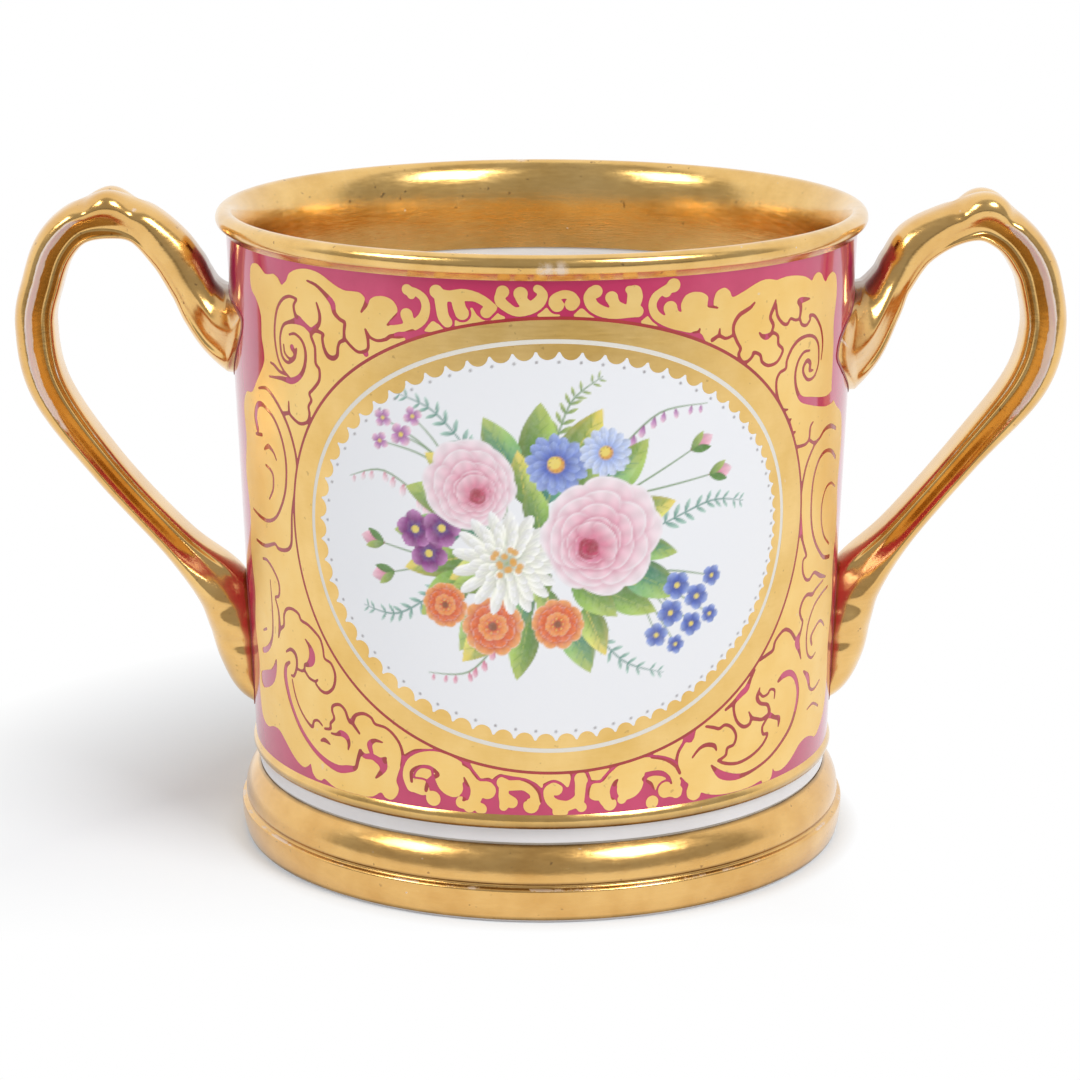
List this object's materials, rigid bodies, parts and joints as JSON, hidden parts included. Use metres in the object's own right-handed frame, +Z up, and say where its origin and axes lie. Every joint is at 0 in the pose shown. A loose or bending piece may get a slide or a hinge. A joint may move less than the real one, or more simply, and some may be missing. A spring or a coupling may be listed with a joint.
{
  "type": "loving cup",
  "caption": "Straight tapered porcelain drinking cup with two tall gilt loop handles, rolled lip, stepped foot, claret ground and an oval painted reserve on each face.",
  "frame": {"origin": "on the table, under the middle of the foot ring", "axes": "+Z up along the axis of the turned body; +X towards the right handle as seen from the front; the front reserve faces -Y"},
  "size_m": [0.2074, 0.1272, 0.1296],
  "materials": {
    "porcelain": "clear glossy glaze over white bone china",
    "slip": "fired luting slip",
    "gilt": "burnished gilding fired over the glaze, rubbed on the edges",
    "claret": "glossy claret ground enamel",
    "painted_reserve": "white glaze with flowers painted in coloured enamels"
  },
  "bodies": {
    "root": {"body": "porcelain", "foot_ring": "porcelain", "foot_slip": "slip", "handle_left": "gilt", "handle_right": "gilt", "slip_left_upper": "slip", "slip_left_lower": "slip", "slip_right_upper": "slip", "slip_right_lower": "slip", "ground_enamel": "claret", "front_reserve": "painted_reserve", "back_reserve": "painted_reserve", "front_frame": "gilt", "back_frame": "gilt", "rim_gilding": "gilt", "base_bead": "gilt", "foot_gilding": "gilt"}
  },
  "joints": []
}
